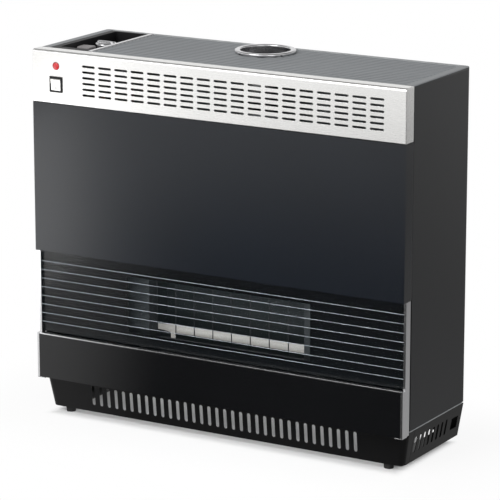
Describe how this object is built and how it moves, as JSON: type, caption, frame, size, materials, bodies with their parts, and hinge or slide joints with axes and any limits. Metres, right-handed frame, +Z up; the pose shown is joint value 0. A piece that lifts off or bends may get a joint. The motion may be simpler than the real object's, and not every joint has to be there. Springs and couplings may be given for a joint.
{
  "type": "wall mounted gas heater",
  "caption": "Wide flat wall heater with a slotted bright fascia, black front, glass window strip, ribbed top with a flue collar and sunk controls, and a slotted plinth on feet.",
  "frame": {"origin": "bottom centre of the bounding box, on the floor under the feet", "axes": "+X to the right seen from the front, +Y from the front to the wall, +Z up"},
  "size_m": [0.69, 0.2258, 0.627],
  "materials": {
    "stainless": "fine brushed along the fascia",
    "bright_trim": "polished",
    "satin_black": "satin black enamel",
    "gloss_black": "gloss black enamel",
    "case_grey": "satin dark grey enamel",
    "top_grey": "satin grey enamel",
    "black_plastic": "matt",
    "white_plastic": "smooth",
    "grey_plastic": "satin",
    "red_lens": "clear red lens",
    "tinted_glass": "black printed with a clear window",
    "clear_glass": "clear ceramic glass",
    "zinc_steel": "zinc coated sheet",
    "heat_steel": "heat proof dark enamel",
    "burner_steel": "bright stainless",
    "cast_alloy": "as cast",
    "brass": "machined",
    "copper": "drawn copper",
    "black_rubber": "matt",
    "white_ceramic": "unglazed"
  },
  "bodies": {
    "case": {"side_panel_right": "case_grey", "side_panel_left": "case_grey", "back_panel": "zinc_steel", "base_pan": "zinc_steel", "wall_bracket": "zinc_steel", "plinth_front": "satin_black", "plinth_right": "satin_black", "plinth_left": "satin_black", "foot_1": "black_rubber", "foot_2": "black_rubber", "foot_3": "black_rubber", "foot_4": "black_rubber", "outlet_strip": "stainless", "front_panel": "satin_black", "front_glass": "tinted_glass", "lower_trim": "gloss_black", "trim_bead": "bright_trim", "side_trim_right": "bright_trim", "side_trim_left": "bright_trim", "top_grille": "top_grey", "control_well": "black_plastic", "well_divider": "bright_trim", "flue_collar": "bright_trim", "flue_duct": "zinc_steel", "draught_hood": "zinc_steel", "sight_glass": "clear_glass", "sight_frame_right": "heat_steel", "sight_frame_left": "heat_steel", "sight_frame_top": "heat_steel", "sight_frame_bottom": "heat_steel", "guard_wires": "burner_steel", "combustion_chamber": "heat_steel", "fin_block": "heat_steel", "chamber_cradle": "heat_steel", "burner_tube": "burner_steel", "injector": "brass", "pilot_burner": "brass", "ignition_electrode": "white_ceramic", "thermocouple": "copper", "gas_valve": "cast_alloy", "igniter_barrel": "black_plastic", "gas_inlet_elbow": "brass", "inlet_pipe": "copper", "burner_pipe": "copper", "pilot_pipe": "copper", "switch_bezel": "black_plastic", "lamp_lens": "red_lens", "lamp_holder": "black_plastic", "fan_housing": "zinc_steel", "fan_motor": "heat_steel", "motor_coil": "copper", "fan_bearing": "black_rubber", "terminal_box": "black_plastic", "cable_gland": "black_rubber"},
    "rocker": {"switch_rocker": "white_plastic"},
    "igniter": {"igniter_button": "grey_plastic"},
    "cam_sleeve": {"valve_cam_sleeve": "brass"},
    "knob": {"control_knob": "bright_trim", "valve_spindle": "brass"},
    "fan": {"fan_rotor": "cast_alloy"}
  },
  "joints": [
    {"name": "rocker_tilt", "type": "hinge", "parent": "case", "child": "rocker", "pos_m": [-0.2986, -0.10609, 0.5668], "axis": [-1, 0, 0], "range_deg": [0, 16]},
    {"name": "igniter_press", "type": "slide", "parent": "case", "child": "igniter", "axis": [0, 0, -1], "range_m": [0, 0.005], "stiffness_N_per_m": 500, "springref_m": -0.004},
    {"name": "knob_turn", "type": "hinge", "parent": "case", "child": "cam_sleeve", "pos_m": [-0.283, 0.01691, 0.588], "axis": [0, 0, 1], "range_deg": [0, 240]},
    {"name": "knob_press", "type": "slide", "parent": "cam_sleeve", "child": "knob", "axis": [0, 0, -1], "range_m": [0, 0.003], "stiffness_N_per_m": 800, "springref_m": -0.003},
    {"name": "fan_spin", "type": "hinge", "parent": "case", "child": "fan", "pos_m": [0, 0.07191, 0.101], "axis": [1, 0, 0], "continuous": true}
  ]
}
